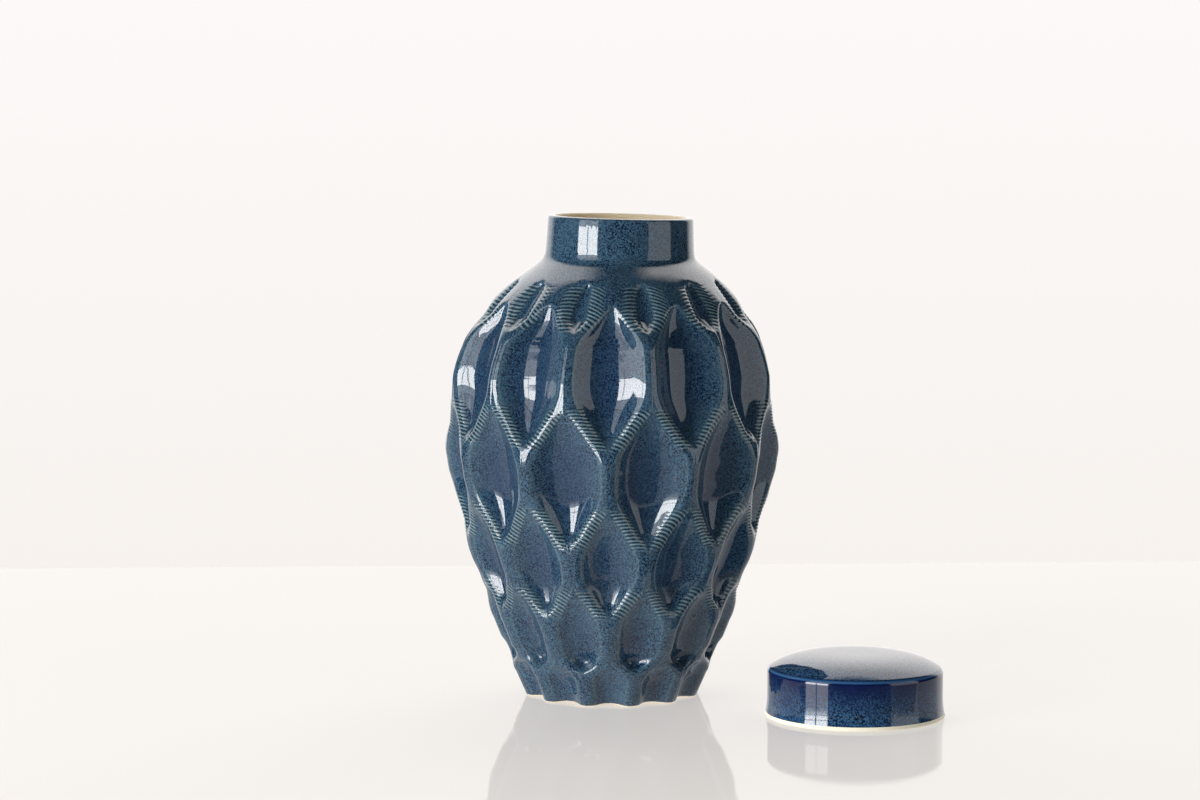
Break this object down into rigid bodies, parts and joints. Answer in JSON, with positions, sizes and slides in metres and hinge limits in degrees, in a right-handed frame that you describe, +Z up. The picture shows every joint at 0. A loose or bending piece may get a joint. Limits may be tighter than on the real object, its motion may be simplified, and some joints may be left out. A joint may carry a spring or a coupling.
{
  "type": "funeral urn",
  "caption": "Round-shouldered ceramic cremation urn with a carved lattice of pointed hollows, a short neck and a domed slip-over cap that stands beside it.",
  "frame": {"origin": "centre of the urn's flat base, on the table", "axes": "+Z up, +X to the right towards the lid, -Y to the front"},
  "size_m": [0.2719, 0.2093, 0.2665],
  "materials": {
    "urn_glaze": "glossy speckled blue reactive glaze, darker in the hollows and pale green-grey on the ribs, bare cream clay at the foot's edge and inside the neck",
    "lid_glaze": "glossy deep blue glaze running to speckled steel blue, bare cream clay at the lower edge and inside"
  },
  "bodies": {
    "root": {"urn": "urn_glaze", "lid": "lid_glaze"}
  },
  "joints": []
}
